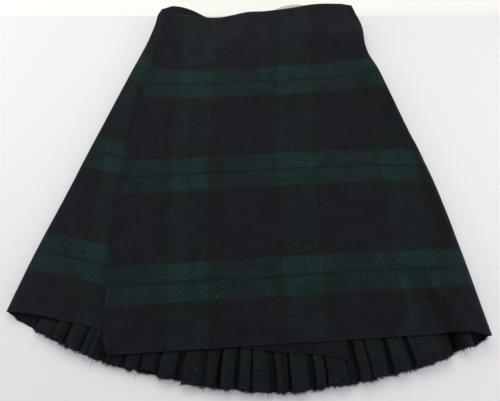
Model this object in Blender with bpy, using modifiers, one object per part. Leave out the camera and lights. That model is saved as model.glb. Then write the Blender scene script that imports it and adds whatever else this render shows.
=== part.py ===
"""Scottish kilt laid out flat on its pleated back.

Four pieces are sewn together: an over apron, an under apron, a back of knife pleats and a waist lining.
Blender works in metres with +Z up. The tables below are in millimetres, +X across the kilt and +Y from
the hem to the waist. z = 0 is the surface that the pleats lie on.
The wearer's right is at -X, where the over apron's free edge lies on the under apron.
"""
import math
from collections import namedtuple

import bmesh
import bpy

MM = 0.001

# ---- driving dimensions, millimetres -------------------------------------------------------------
CLOTH = 1.1            # wall of worsted tartan
LINING = 1.0           # wall of the cotton lining
SEAM_GAP = 0.3         # between two pieces that are sewn to each other
LAYER = 2.0            # one layer of a pleat to the next, middle to middle
FRONT_LENGTH = 562.0   # hem to waist on the aprons
HEM_SAG = 87.0         # how far the back's hem hangs below a line through the two side folds
WAIST_SAG = 55.0       # the same for the back's waist edge
LEFT_SHOULDER = 3.5    # how much fuller than a parabola the hem's curve is near each side fold
RIGHT_SHOULDER = 3.5
PLAN_CENTRE = (-6.0, 286.83)  # middle of the laid-out kilt in the tables' own x and y

# Sides: where the two side folds lie, and how high the cloth stands as it rolls over them.
Side = namedtuple("Side", "along left_x left_y right_x right_y left_rise right_rise")
SIDES = (
    Side(0, -337, 72, 325, 40, 13, 22),
    Side(90, -311, 159, 310, 132, 13, 17),
    Side(180, -281, 245, 295, 216, 13, 16),
    Side(250, -258, 313, 279, 283, 14, 16),
    Side(330, -231, 389, 252, 368, 15, 17),
    Side(420, -201, 472, 222, 465, 17, 19),
    Side(480, -180, 527, 201, 524, 20, 20),
    Side(520, -168, 564, 196, 563, 24, 24),
    Side(545, -165, 583, 188, 587, 24, 25),
    Side(562, -160, 594, 182, 602, 23, 24),
)
LEFT_ROLL = 8.0        # reach of the left side fold's rounding at the hem; it narrows with the kilt
RIGHT_ROLL = 11.0
LEFT_CREST = 55.0      # how far in from the fold the raised cloth runs out
RIGHT_CREST = 92.0
ROLL_DEGREES = (60, 30, 0, -30, -60, -90)   # places round a side fold, from above its middle to the table
LEFT_SEAM = 0.057      # seams to the pleats, as a share of the way from left fold to right fold
RIGHT_SEAM = 0.970

# Waist: height of the aprons along their top edge, and how far each apron's edge strays from straight.
Wave = namedtuple("Wave", "x height over_stray under_stray")
WAIST_WAVE = (
    Wave(-175, 20, 0, 2),
    Wave(-140, 25, 1, 6),
    Wave(-108, 21, -1, 4),
    Wave(-62, 12, -1, -10),
    Wave(-10, 16, 2, -12),
    Wave(60, 22, 2, -12),
    Wave(118, 26, 6, 0),
    Wave(155, 25, 5, 0),
    Wave(190, 23, 0, 0),
)
STRAY_RUN = (440.0, 562.0)
WAVE_RUN = (455.0, 592.0)   # from flat cloth up to the waist's own height

# Over apron: straight grain, its free edge slants in towards the waist.
OVER_HEM_Y = 27.0
OVER_HEM_TILT = 0.061
OVER_POINTS = 25       # points along one row, from the free edge to the side fold's rounding
OVER_FOLD_DRAW = 110.0  # width of cloth near the right fold that follows the fold's own line
OVER_FREE_RUN = 22.0   # nearer than this to the fold, the cloth keeps exactly to it
HEM_LIFT = 6.0         # the hem arches up over the deep pleat
HEM_LIFT_X = 286.0
HEM_LIFT_HALF_WIDTH = 30.0
HEM_LIFT_RUN = 80.0
Edge = namedtuple("Edge", "along x")
OVER_EDGE = (
    Edge(0, -188),
    Edge(9, -194),
    Edge(24, -197),
    Edge(90, -201),
    Edge(190, -199),
    Edge(260, -195),
    Edge(345, -190),
    Edge(415, -178),
    Edge(490, -156),
    Edge(562, -140),
)
UNDER_EDGE = (
    Edge(0, 132),
    Edge(562, 62),
)
# Under apron: its hem falls away to the right, its grain leans the same way.
Hem = namedtuple("Hem", "x y")
UNDER_HEM = (
    Hem(-337, 72),
    Hem(-281, 62),
    Hem(-231, 51),
    Hem(-180, 42),
    Hem(-60, 32),
    Hem(0, 24),
    Hem(57, 18.5),
    Hem(86, 17),
    Hem(132, 9),
)
UNDER_LEAN = 0.07      # sideways drift of the grain for each unit along it
UNDER_SHRINK = 0.99    # the leaning rows lie this much closer together
UNDER_POINTS = 21
UNDER_FOLD_DRAW = 24.0

# Back: width of each strip between one inner pleat edge and the next, across the hem, left to right.
FIRST_EDGE = -291.0
STRIPS = (17, 17, 30, 37, 24, 18, 28, 33, 29, 19, 24, 18, 31, 20, 33, 18, 37, 18, 29, 30)
OVERLAP = 0.45         # share of a strip over which the pleat before it runs on underneath
STEP_START = 0.9       # where a layer begins and ends its step down past an outer fold
STEP_END = 4.4
LAST_FOLD = 260.0      # outer fold of the last knife pleat
LAST_STEP_END = 6.0    # its strip stays high to there, and steps down into the dip before the deep pleat
# The deep pleat's outline: x from its right foot, and the share of its full height.
Loop = namedtuple("Loop", "offset height")
LOOP = (
    Loop(-24.5, 0.0),
    Loop(-22.5, 0.3),
    Loop(-17.0, 0.64),
    Loop(-11.0, 0.89),
    Loop(-6.5, 1.0),
    Loop(-3.0, 0.92),
    Loop(-1.5, 0.5),
    Loop(-1.0, 0.0),
)
LOOP_RIGHT = 302.0     # right foot of the deep pleat that stands inside the right side fold
LOOP_DROP = 6.5        # how far its top stays below the over apron

# Largest folds pressed into the front, as soft ridges and troughs.
Fold = namedtuple("Fold", "x0 y0 x1 y1 half_width rise")
FRONT_FOLDS = (
    Fold(112, 527, 205, 513, 20, -4.5),
    Fold(150, 550, 204, 545, 12, 3.0),
    Fold(200, 438, 234, 345, 20, -3.0),
    Fold(262, 300, 283, 175, 18, -2.5),
    Fold(-62, 520, -2, 588, 17, 2.5),
    Fold(150, 172, 208, 84, 16, 1.6),
    Fold(232, 122, 262, 52, 15, -3.0),
)

# Lining: a short run of it rides up over the top edge of the over apron.
LINING_LEFT = 26.0
LINING_RIGHT = 118.0
LINING_DEPTH = 38.0
LINING_INSET = 3.0     # it is sewn this far below the over apron's top edge
LINING_TUFT = 12.0     # how far it rides up, fully so between these two places
LINING_TUFT_LEFT = 64.0
LINING_TUFT_RIGHT = 73.0
LINING_POINTS = 14
LINING_ROWS = (0, 0.35, 0.7, 0.85, 1)   # shares of its depth, lower edge to upper edge
LINING_BEND = 0.6      # the tuft bends up from this share of the depth

# Heights of the stack, middle of each wall.
TABLE_LAYER = CLOTH / 2
TOP_LAYER = 4          # a pleat stacks layers 0 to 4
PLEAT_CLEAR = 0.5      # between the top of the pleats and the aprons
PLEAT_TOP = TABLE_LAYER + TOP_LAYER * LAYER + CLOTH / 2
FRONT_FLAT = PLEAT_TOP + PLEAT_CLEAR + CLOTH / 2
APRON_STEP = 2.0
WAIST_STEP = 4.2       # the over apron lies higher where the lining comes between
STEP_RUN = (500.0, 540.0)

# Rows of points along the cloth. Each piece keeps the pleats' rows, so that the seams run together.
PLEAT_ROWS = (0, 120, 270, 400, 490, FRONT_LENGTH)
UNDER_ROWS = (0, 60, 120, 195, 270, 335, 400, 430, 460, 490, 514, 538, FRONT_LENGTH)
OVER_ROWS = (0, 9, 24, 60, 90, 120, 157, 195, 232, 270, 302, 335, 367, 400, 422, 445, 467, 490,
             508, 526, 544, FRONT_LENGTH)

TARTAN = (0.012, 0.018, 0.022)
COTTON = (0.62, 0.56, 0.46)


# ---- helpers --------------------------------------------------------------------------------------
def column(table, key, value, at):
    """Reads a table's named column at a place between its rows, along a smooth curve."""
    keys = [getattr(row, key) for row in table]
    values = [getattr(row, value) for row in table]
    if at <= keys[0]:
        return float(values[0])
    if at >= keys[-1]:
        return float(values[-1])
    i = max(n for n in range(len(keys) - 1) if keys[n] <= at)
    slopes = [(values[n + 1] - values[n]) / (keys[n + 1] - keys[n]) for n in range(len(keys) - 1)]
    start = slopes[i] if i == 0 else (slopes[i - 1] + slopes[i]) / 2
    end = slopes[i] if i == len(slopes) - 1 else (slopes[i] + slopes[i + 1]) / 2
    width = keys[i + 1] - keys[i]
    t = (at - keys[i]) / width
    return (values[i] * (1 + 2 * t) * (1 - t) ** 2 + start * width * t * (1 - t) ** 2
            + values[i + 1] * t * t * (3 - 2 * t) + end * width * t * t * (t - 1))


def ease(value, low, high):
    """0 below low, 1 above high, and an S curve between."""
    t = min(1.0, max(0.0, (value - low) / (high - low)))
    return t * t * (3 - 2 * t)


def side(name, along):
    return column(SIDES, "along", name, along)


def steps(start, end, count):
    return [start + (end - start) * i / (count - 1) for i in range(count)]


# ---- plan: where a point of each layer lies on the table ---------------------------------------------
def across(share, along):
    """x at a share of the way from the left side fold to the right one."""
    return side("left_x", along) + share * width(along)


def seam(share, along):
    """A seam runs straight from one of the pleats' rows to the next."""
    above = next(row for row in PLEAT_ROWS if row >= along)
    below = max(row for row in PLEAT_ROWS if row <= along)
    ends = [(across(share, row), back_y(across(share, row), row)) for row in (below, above)]
    t = (along - below) / (above - below) if above > below else 0
    return tuple(a + t * (b - a) for a, b in zip(*ends))


def width(along):
    return side("right_x", along) - side("left_x", along)


def share_at_hem(x):
    return (x - SIDES[0].left_x) / width(0)


def back_y(x, along):
    """The back fans out, so its rows sag between the side folds, and run fuller near each of them."""
    share = (x - side("left_x", along)) / width(along)
    chord = side("left_y", along) + share * (side("right_y", along) - side("left_y", along))
    sag = HEM_SAG + (WAIST_SAG - HEM_SAG) * along / FRONT_LENGTH
    out = abs(2 * share - 1)
    shoulder = LEFT_SHOULDER if share < 0.5 else RIGHT_SHOULDER
    return chord - sag * (1 - out ** 2) - shoulder * 4 * (out ** 4 - out ** 8)


def over_y(x, along):
    """Rows of the over apron are straight, and bend to meet the right side fold."""
    right_x = side("right_x", along)
    straight = OVER_HEM_Y + OVER_HEM_TILT * x + along
    miss = side("right_y", along) - (OVER_HEM_Y + OVER_HEM_TILT * right_x + along)
    arch = HEM_LIFT * math.exp(-((x - HEM_LIFT_X) / HEM_LIFT_HALF_WIDTH) ** 2)
    arch *= 1 - ease(along, 0, HEM_LIFT_RUN)
    stray = column(WAIST_WAVE, "x", "over_stray", x) * ease(along, *STRAY_RUN)
    at_fold = ease(x, right_x - OVER_FOLD_DRAW, right_x)
    return straight + miss * at_fold + (arch + stray) * (1 - ease(x, right_x - OVER_FREE_RUN, right_x))


def under_y(x, along):
    left_x = side("left_x", along)
    row = column(UNDER_HEM, "x", "y", x - UNDER_LEAN * along) + UNDER_SHRINK * along
    row += column(WAIST_WAVE, "x", "under_stray", x) * ease(along, *STRAY_RUN)
    at_fold = column(UNDER_HEM, "x", "y", left_x - UNDER_LEAN * along) + UNDER_SHRINK * along
    return row + (side("left_y", along) - at_fold) * (1 - ease(x, left_x, left_x + UNDER_FOLD_DRAW))


# ---- height of the front ------------------------------------------------------------------------------
def fold_rise(fold, x, y):
    """Height that one soft fold adds: full on its line, fading to its sides and past its ends."""
    run_x, run_y = fold.x1 - fold.x0, fold.y1 - fold.y0
    t = ((x - fold.x0) * run_x + (y - fold.y0) * run_y) / (run_x ** 2 + run_y ** 2)
    t = min(1.0, max(0.0, t))
    away = math.hypot(x - fold.x0 - t * run_x, y - fold.y0 - t * run_y)
    return fold.rise * math.exp(-(away / fold.half_width) ** 2)


def front_height(x, y):
    """Middle of the under apron's wall, or of what the over apron lies on where that one ends."""
    wave = column(WAIST_WAVE, "x", "height", x) - FRONT_FLAT
    flat = FRONT_FLAT + wave * ease(y, *WAVE_RUN)
    from_left = x - column(SIDES, "left_y", "left_x", y)
    from_right = column(SIDES, "right_y", "right_x", y) - x
    left_rise = column(SIDES, "left_y", "left_rise", y) - flat
    right_rise = column(SIDES, "right_y", "right_rise", y) - flat
    sides = left_rise * (1 - ease(from_left, LEFT_ROLL, LEFT_CREST))
    sides += right_rise * (1 - ease(from_right, RIGHT_ROLL, RIGHT_CREST))
    folds = sum(fold_rise(fold, x, y) for fold in FRONT_FOLDS)
    return max(FRONT_FLAT, flat + sides + folds)


def over_height(x, y):
    return front_height(x, y) + APRON_STEP + (WAIST_STEP - APRON_STEP) * ease(y, *STEP_RUN)


# ---- sections: one row of points across each piece -------------------------------------------------------
def roll(fold_x, reach, top, along, upper_y):
    """Half round from the top of the cloth down to the table layer; reach points in from the side fold."""
    middle = (top + TABLE_LAYER) / 2
    radius = (top - TABLE_LAYER) / 2
    points = []
    for degrees in ROLL_DEGREES:
        angle = math.radians(degrees)
        x = fold_x + reach * (1 - math.cos(angle))
        y = upper_y(x, along) if degrees > 0 else back_y(x, along)
        points.append((x, y, middle + radius * math.sin(angle)))
    return points


def over_apron_row(along):
    right_x = side("right_x", along)
    reach = RIGHT_ROLL * width(along) / width(0)
    points = []
    for x in steps(column(OVER_EDGE, "along", "x", along), right_x - reach, OVER_POINTS):
        y = over_y(x, along)
        points.append((x, y, over_height(x, y)))
    points += roll(right_x, -reach, points[-1][2], along, over_y)
    seam_x, seam_y = seam(RIGHT_SEAM, along)
    points.append((seam_x + SEAM_GAP / 2, seam_y, TABLE_LAYER))
    return points


def under_apron_row(along):
    left_x = side("left_x", along)
    reach = LEFT_ROLL * width(along) / width(0)
    points = []
    for x in steps(column(UNDER_EDGE, "along", "x", along), left_x + reach, UNDER_POINTS):
        y = under_y(x, along)
        points.append((x, y, front_height(x, y)))
    points += roll(left_x, reach, points[-1][2], along, under_y)
    seam_x, seam_y = seam(LEFT_SEAM, along)
    points.append((seam_x - SEAM_GAP / 2, seam_y, TABLE_LAYER))
    return points


def pleat_path():
    """One row through every knife pleat, left to right, as (x at the hem, offset, layer).

    Each strip lies on the table, turns back under at its outer fold, climbs over the outer fold of the
    pleat before it to the inner fold, and comes forward again to lie on the table as the next strip.
    """
    edges = [FIRST_EDGE]
    for strip in STRIPS:
        edges.append(edges[-1] + strip)
    folds = [edges[i + 1] + OVERLAP * (edges[i + 2] - edges[i + 1]) for i in range(len(edges) - 2)]
    folds.append((edges[-1] + LAST_FOLD) / 2)
    folds.append(LAST_FOLD)
    path = []
    for number, (inner, outer) in enumerate(zip(edges, folds)):
        before = folds[number - 1] if number else None
        path.append((outer, 0, 0))
        path.append((outer, 0, 1))
        if before:
            path += [(before, STEP_END, 1), (before, STEP_START, 3), (inner, 0, 3), (inner, 0, 4)]
        else:
            path += [(inner, 0, 1), (inner, 0, 2)]
        if outer == LAST_FOLD:
            path += [(outer, STEP_START, 4), (outer, LAST_STEP_END, 0)]
        else:
            if before:
                path += [(before, STEP_START, 4), (before, STEP_END, 2)]
            path += [(outer, STEP_START, 2), (outer, STEP_END, 0)]
    return path


def pleated_back_row(along):
    seam_x, seam_y = seam(LEFT_SEAM, along)
    points = [(seam_x + SEAM_GAP / 2, seam_y, TABLE_LAYER)]
    for hem_x, offset, layer in pleat_path():
        x = across(share_at_hem(hem_x), along) + offset
        points.append((x, back_y(x, along), TABLE_LAYER + layer * LAYER))
    top = side("right_rise", along) - LOOP_DROP - TABLE_LAYER
    for place in LOOP:
        x = across(share_at_hem(LOOP_RIGHT + place.offset), along)
        points.append((x, back_y(x, along), TABLE_LAYER + place.height * top))
    seam_x, seam_y = seam(RIGHT_SEAM, along)
    points.append((seam_x - SEAM_GAP / 2, seam_y, TABLE_LAYER))
    return points


def lining_row(share):
    """One row across the lining, from its lower edge (0) to the edge that rides up (1)."""
    points = []
    for x in steps(LINING_LEFT, LINING_RIGHT, LINING_POINTS):
        tuft = ease(x, LINING_LEFT, LINING_TUFT_LEFT) * (1 - ease(x, LINING_TUFT_RIGHT, LINING_RIGHT))
        out = LINING_TUFT * tuft * ease(share, LINING_BEND, 1)
        along = FRONT_LENGTH - LINING_INSET - LINING_DEPTH * (1 - share) + out
        y = over_y(x, along)
        points.append((x, y, over_height(x, y) - WAIST_STEP / 2))
    return points


# ---- solids --------------------------------------------------------------------------------------
def material(name, colour, roughness):
    made = bpy.data.materials.new(name)
    made.use_nodes = True
    shader = made.node_tree.nodes["Principled BSDF"]
    shader.inputs["Base Color"].default_value = (*colour, 1)
    shader.inputs["Roughness"].default_value = roughness
    shader.inputs["Metallic"].default_value = 0
    made.diffuse_color = (*colour, 1)
    return made


def wall_of_cloth(collection, name, rows, thickness, finish):
    """Lofts a sheet through its rows and gives it its thickness, half to each side."""
    sheet = bmesh.new()
    grid = []
    for row in rows:
        placed = [((x - PLAN_CENTRE[0]) * MM, (y - PLAN_CENTRE[1]) * MM, z * MM) for x, y, z in row]
        grid.append([sheet.verts.new(point) for point in placed])
    for lower, upper in zip(grid, grid[1:]):
        for i in range(len(lower) - 1):
            sheet.faces.new((lower[i], lower[i + 1], upper[i + 1], upper[i]))
    mesh = bpy.data.meshes.new(name)
    sheet.to_mesh(mesh)
    sheet.free()
    mesh.materials.append(finish)
    piece = bpy.data.objects.new(name, mesh)
    collection.objects.link(piece)
    wall = piece.modifiers.new("cloth thickness", "SOLIDIFY")
    wall.thickness = thickness * MM
    wall.offset = 0
    wall.use_even_offset = True
    wall.use_quality_normals = True
    return piece


def build():
    for leftover in list(bpy.data.objects):
        bpy.data.objects.remove(leftover, do_unlink=True)
    collection = bpy.data.collections.new("scottish kilt")
    bpy.context.scene.collection.children.link(collection)
    tartan = material("tartan", TARTAN, 0.9)
    cotton = material("lining cotton", COTTON, 0.85)

    wall_of_cloth(collection, "over_apron", [over_apron_row(a) for a in OVER_ROWS], CLOTH, tartan)
    wall_of_cloth(collection, "under_apron", [under_apron_row(a) for a in UNDER_ROWS], CLOTH, tartan)
    wall_of_cloth(collection, "pleated_back", [pleated_back_row(a) for a in PLEAT_ROWS], CLOTH, tartan)
    wall_of_cloth(collection, "waist_lining", [lining_row(s) for s in LINING_ROWS], LINING, cotton)


build()
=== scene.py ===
import math
from collections import namedtuple

import bmesh
import bpy
import numpy as np
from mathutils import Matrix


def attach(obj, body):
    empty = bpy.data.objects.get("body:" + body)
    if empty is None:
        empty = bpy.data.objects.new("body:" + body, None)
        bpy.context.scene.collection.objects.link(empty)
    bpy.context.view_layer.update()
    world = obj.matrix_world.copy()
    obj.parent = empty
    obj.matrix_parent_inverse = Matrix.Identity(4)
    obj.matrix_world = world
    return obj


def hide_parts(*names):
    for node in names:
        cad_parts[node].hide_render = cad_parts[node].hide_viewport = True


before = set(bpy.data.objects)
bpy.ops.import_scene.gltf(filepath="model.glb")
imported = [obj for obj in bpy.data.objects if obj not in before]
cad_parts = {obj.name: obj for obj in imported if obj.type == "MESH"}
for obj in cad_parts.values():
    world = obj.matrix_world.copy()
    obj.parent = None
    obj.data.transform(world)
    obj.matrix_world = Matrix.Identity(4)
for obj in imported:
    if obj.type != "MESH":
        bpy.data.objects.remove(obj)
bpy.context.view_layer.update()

MM = 0.001
join = np.concatenate


def table(columns, *rows):
    """Rows of values that are read by the names of their columns."""
    row = namedtuple("Row", columns)
    return [row(*values) for values in rows]


# ---- sizes in millimetres: +X across the kilt, +Y from the hem to the waist, z = 0 on the table ----
CLOTH = 1.1
LINING = 0.8
LAYER = 2.0
FRONT_LENGTH = 562.0
HEM_SAG = 87.0         # how far the back sags between its side folds, at the hem and at the waist
WAIST_SAG = 55.0
SHOULDER = 3.5         # and how much more it sags just inside each of them
PLAN_CENTRE = (-6.0, 286.83)

# The side folds from the hem up: where they run, and how high the cloth rises there.
SIDES = table(
    "along left_x left_y right_x right_y left_rise right_rise",
    (0, -337, 72, 325, 40, 13, 22),
    (90, -311, 159, 310, 132, 13, 17),
    (180, -281, 245, 295, 216, 13, 16),
    (250, -258, 313, 279, 283, 14, 16),
    (330, -231, 389, 252, 368, 15, 17),
    (420, -201, 472, 222, 465, 17, 19),
    (480, -180, 527, 201, 524, 20, 20),
    (520, -168, 564, 196, 563, 24, 24),
    (545, -165, 583, 188, 587, 24, 25),
    (562, -160, 594, 184, 602, 23, 24),
)
LEFT_ROLL = 8.0        # the cloth is highest this far in from a side fold, and flat from the crest on
RIGHT_ROLL = 11.0
LEFT_CREST = 55.0
RIGHT_CREST = 92.0
LEFT_SEAM = 0.057      # where the aprons meet the back underneath, as a share of its width
RIGHT_SEAM = 0.970

# The waist: how high it waves, and how far the edge of each apron strays up.
WAIST_WAVE = table(
    "x height over_stray under_stray",
    (-175, 20, 0, 2),
    (-140, 25, 1, 6),
    (-108, 21, -1, 4),
    (-62, 12, -1, -10),
    (-10, 16, 2, -12),
    (60, 22, 2, -12),
    (118, 26, 6, 0),
    (155, 25, 5, 0),
    (190, 23, 0, 0),
)
STRAY_RUN = (440.0, 562.0)
WAVE_RUN = (455.0, 592.0)

OVER_HEM_Y = 27.0      # the over apron's hem is a tilted line that is drawn to the end of the side fold
OVER_HEM_TILT = 0.061
OVER_FOLD_DRAW = 110.0
OVER_FREE_RUN = 22.0   # other strays of the edge die away over this much beside the fold
HEM_LIFT = 6.0         # the hem arches up beside it
HEM_LIFT_X = 286.0
HEM_LIFT_HALF_WIDTH = 30.0
HEM_LIFT_RUN = 80.0
# The free edge of each apron from the hem up, and the under apron's hem.
OVER_EDGE = table(
    "along x",
    (0, -188), (9, -194), (24, -197), (90, -201), (190, -199), (260, -195), (345, -190), (415, -178),
    (490, -156), (562, -140),
)
UNDER_EDGE = table("along x", (0, 132), (562, 62))
UNDER_HEM = table(
    "x y",
    (-337, 72), (-312, 70.5), (-289, 67), (-256, 60), (-231, 55), (-206, 48.5), (-180, 42), (-60, 32),
    (0, 24), (57, 18.5), (86, 17), (132, 9),
)
UNDER_LEAN = 0.07      # its rows move across and draw together towards the waist
UNDER_SHRINK = 0.99
UNDER_FOLD_DRAW = 24.0

# Each knife pleat by its inner fold's edge at the hem: how far the edge leans out over the last stretch,
# how far its hem hangs lower, how much its fold lifts there, how much its strip puffs up, how far its
# stripe is off the middle, and how far the painted shade in the crevice beside its edge reaches and how
# dark that painted shade is.
PLEATS = table(
    "edge lean drop lift puff stripe hollow dark",
    (-293, 0, 0, 4.5, 1, 4, 12, 1),
    (-267, -1, -1, 3, 1.6, 36, 7, 0.9),
    (-250, -1, 1, 1.6, 1.8, -20, 4, 0.8),
    (-226, -2, 1, 3.2, 1.2, 20, 4, 0.8),
    (-191, 0, -1.5, 1.8, 1.6, 37, 6, 1),
    (-167, 0, -2.5, 2.4, 1.5, 40, 3, 0.4),
    (-145, 0, -6.5, 1.5, 1, -36, 3, 0.45),
    (-120.5, 0, -3, 3.6, 1.6, -4, 3, 0.8),
    (-90, 0, 0, 2, 2.2, -26, 4, 0.5),
    (-59, 0, 0, 1.8, 2.8, 16, 4, 0.4),
    (-39, 0, 0, 6, 1.2, -14, 14, 1),
    (-15.5, 0, 0, 2.2, 2.2, 10, 2.5, 0.7),
    (3, 1, 0, 1.8, 2.4, -4, 4, 0.6),
    (36, 5, 0, 4.4, 1.6, 9, 5, 0.9),
    (55, 4, 1, 4.2, 2.2, 3, 4.5, 1),
    (87, 4, -1, 3.4, 1.4, -12, 5, 0.9),
    (103, 3, -1, 3.6, 2.6, -15, 4.5, 0.85),
    (146, 5, 0, 4.6, 1.4, 5, 7, 1),
    (162, 4, 0, 2.4, 2.4, -9, 5, 0.6),
    (191, 4, 0, 3.4, 2.6, 6, 4.5, 0.8),
    (221, 6, -1, 4, 1.5, 16, 4.5, 0.75),
)
# Smaller creases that run down a pleat's strip, by their place at the hem; each is also given painted shade.
DIPS = table(
    "x half_width depth",
    (-258, 2, 1.2), (-239, 2.5, 0.8), (-217, 2.2, 2.2), (-207, 2.2, 2), (-154, 2.5, 1.2),
    (-104, 2, 1), (-97, 2.8, 2.8), (-72, 2.5, 1.4), (-27, 2, 0.8), (21, 2.5, 1), (46, 3.5, 3.4),
    (71, 2.5, 1.2), (120, 2.5, 1.2), (132, 2.5, 1), (176, 2.5, 1), (206, 3, 1.2), (243, 3.5, 1.4),
)
# How far the raw hem strays up from its sagging line.
HEM_STRAY = table(
    "x up",
    (-337, 0), (-293, 0.5), (-255, 1.2), (-235, 1.5), (-200, 1.4), (-150, 0.6), (-122, 0), (-70, 0.5),
    (-50, 1.2), (-30, 1.8), (-13, 2.6), (5, 0.8), (30, -0.6), (52, -0.4), (66, 1.2), (85, 1.8),
    (98, 3), (112, 3.6), (125, 0.4), (146, 0.6), (158, 1.5), (170, 2.8), (190, 1.8), (212, 2.2),
    (225, 0.6), (250, 0.5), (264, 0), (275, 1.6), (288, 2), (303, 0),
)
LEAN_RUN = 60.0        # the lean is made up over this length above the hem
HEM_TRIM = 2.0         # the cloth ends this much short of the ends of its frayed threads
OVERLAP = 0.45         # share of a strip over which the pleat before it runs on underneath
LAST_FOLD = 268.0
LAST_STEP_END = 7.5    # the last strip stays high to there, and steps down beside the deep pleat
RAMP_START = 0.9
RAMP_SHARE = 0.55      # share of the way to the next outer fold that a layer takes to step down
RAMP_LONGEST = 13.0
SHOWING = 1.9          # the strip of a pleat that shows lies above this level, and its fold below
# The deep pleat's section, from left to right.
LOOP = table(
    "offset height",
    (-24.5, 0), (-23.7, 0.14), (-22.5, 0.3), (-20, 0.47), (-17, 0.64), (-14, 0.78),
    (-11, 0.89), (-8.5, 0.97), (-6.5, 1), (-4.5, 0.98), (-3, 0.9), (-2, 0.74), (-1.4, 0.5),
    (-1, 0),
)
LOOP_RIGHT = 302.0
LOOP_DROP = 6.5
LOOP_TAKE_UP = 4.0     # the cloth tucked away in the last fold, as a share of what shows
SEAM_POINTS = 3        # points from the loop to the seam, and how dark the shade painted on them is
LAST_SEAM_PAINTED_SHADE = 0.9

FRONT_FOLDS = table(
    "x0 y0 x1 y1 half_width rise",
    (112, 519, 205, 504, 18, -3.4), (150, 550, 204, 545, 12, 3), (200, 438, 234, 345, 20, -3),
    (262, 300, 283, 175, 18, -2.5), (-62, 520, -2, 588, 17, 2.5), (150, 172, 208, 84, 16, 1.6),
    (232, 122, 262, 52, 15, -3),
)
# Softer creases that the solids leave out.
CREASES = table(
    "x0 y0 x1 y1 half_width rise",
    (36, 558, 88, 586, 9, -0.8), (102, 574, 128, 590, 7, -0.8), (-32, 522, 8, 540, 12, -1),
    (155, 170, 180, 115, 6, -0.9), (180, 115, 205, 85, 6, -0.9), (246, 112, 257, 60, 7, -1.8),
    (214, 112, 219, 48, 6, 1.6), (170, 148, 190, 112, 7, -1.4), (205, 118, 212, 60, 5, -0.9),
    (264, 100, 282, 64, 6, 1.1), (168, 82, 186, 40, 6, -0.9), (-150, 470, -96, 452, 9, 0.5),
    (-60, 330, 30, 352, 16, 0.4), (40, 214, 120, 196, 14, -0.4), (-140, 140, -70, 118, 12, 0.4),
    (-270, 170, -236, 262, 9, 0.6), (-238, 300, -212, 396, 8, -0.6), (-300, 90, -262, 128, 9, -0.5),
)

# The lining: where it runs along the waist, how far down, and the tuft of it that shows most.
LINING_LEFT = 26.0
LINING_RIGHT = 118.0
LINING_DEPTH = 38.0
LINING_INSET = 3.0
LINING_TUFT = 12.0
LINING_TUFT_LEFT = 64.0
LINING_TUFT_RIGHT = 73.0

TABLE_LAYER = CLOTH / 2
PLEAT_TOP = TABLE_LAYER + 4 * LAYER + CLOTH / 2
PLEAT_CLEAR = 0.5      # between the top of the pleats and the aprons
FRONT_FLAT = PLEAT_TOP + PLEAT_CLEAR + CLOTH / 2
SEAM_GAP = 0.3         # between an apron and the back, where they are sewn to each other
FREE_CURL = 1.9        # how far the over apron's free edge curls up, and how much more at the waist
WAIST_CURL = 2.4
HEM_CURL = 0.8         # and at the hem
CURL_WIDTH = 8.0
CORNER_LIFT = 1.2      # how far the over apron's free hem corner lifts, where, and over how much
CORNER = (-190, 16)
CORNER_HALF = (22, 20)
CORNER_RIDE = 0.9      # how far the under apron's free hem corner rides up on the pleats
HEM_RIDE = 0.5         # the same for its hem near the side fold
EDGE_SLACK = 0.15      # how far inside their seams the back's own edges lie
OVER_COLUMNS = 128     # points across the face of each apron
UNDER_COLUMNS = 104
STRIP_POINTS = 4       # points across the strip below an apron's side fold
LEAST_CLEAR = 0.12     # the least room between the under apron and the pleats
APRON_STEP = 2.0       # from the under apron up to the over apron, below the waist and at it
WAIST_STEP = 4.2
STEP_RUN = (500.0, 540.0)


# ---- curves and plan ----
class Curve:
    """A smooth curve through one column of a table."""

    def __init__(self, rows, key, value):
        self.keys = np.array([getattr(row, key) for row in rows], float)
        self.values = np.array([getattr(row, value) for row in rows], float)
        slopes = np.diff(self.values) / np.diff(self.keys)
        self.slopes = join([slopes[:1], (slopes[:-1] + slopes[1:]) / 2, slopes[-1:]])

    def __call__(self, at):
        at = np.clip(at, self.keys[0], self.keys[-1])
        i = np.clip(np.searchsorted(self.keys, at, side="right") - 1, 0, len(self.keys) - 2)
        run = self.keys[i + 1] - self.keys[i]
        t = (at - self.keys[i]) / run
        return (self.values[i] * (1 + 2 * t) * (1 - t) ** 2 + self.slopes[i] * run * t * (1 - t) ** 2
                + self.values[i + 1] * t * t * (3 - 2 * t) + self.slopes[i + 1] * run * t * t * (t - 1))


SIDE = {name: Curve(SIDES, "along", name) for name in SIDES[0]._fields[1:]}
left_fold = SIDE["left_x"]
right_fold = SIDE["right_x"]
SIDE_AT_Y = {end + value: Curve(SIDES, end + "_y", end + value)
             for end in ("left", "right") for value in ("_x", "_rise")}
WAIST = {name: Curve(WAIST_WAVE, "x", name) for name in WAIST_WAVE[0]._fields[1:]}
OVER_EDGE_X = Curve(OVER_EDGE, "along", "x")
UNDER_EDGE_X = Curve(UNDER_EDGE, "along", "x")
UNDER_HEM_Y = Curve(UNDER_HEM, "x", "y")
HEM_UP = Curve(HEM_STRAY, "x", "up")


def ease(value, low, high):
    t = np.clip((np.asarray(value, float) - low) / (high - low), 0, 1)
    return t * t * (3 - 2 * t)


def bell(away, half_width):
    return np.exp(-(away / half_width) ** 2)


def width(along):
    return right_fold(along) - left_fold(along)


def across(share, along):
    return left_fold(along) + share * width(along)


def share_at_hem(x):
    return (x - SIDES[0].left_x) / width(0)


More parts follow.
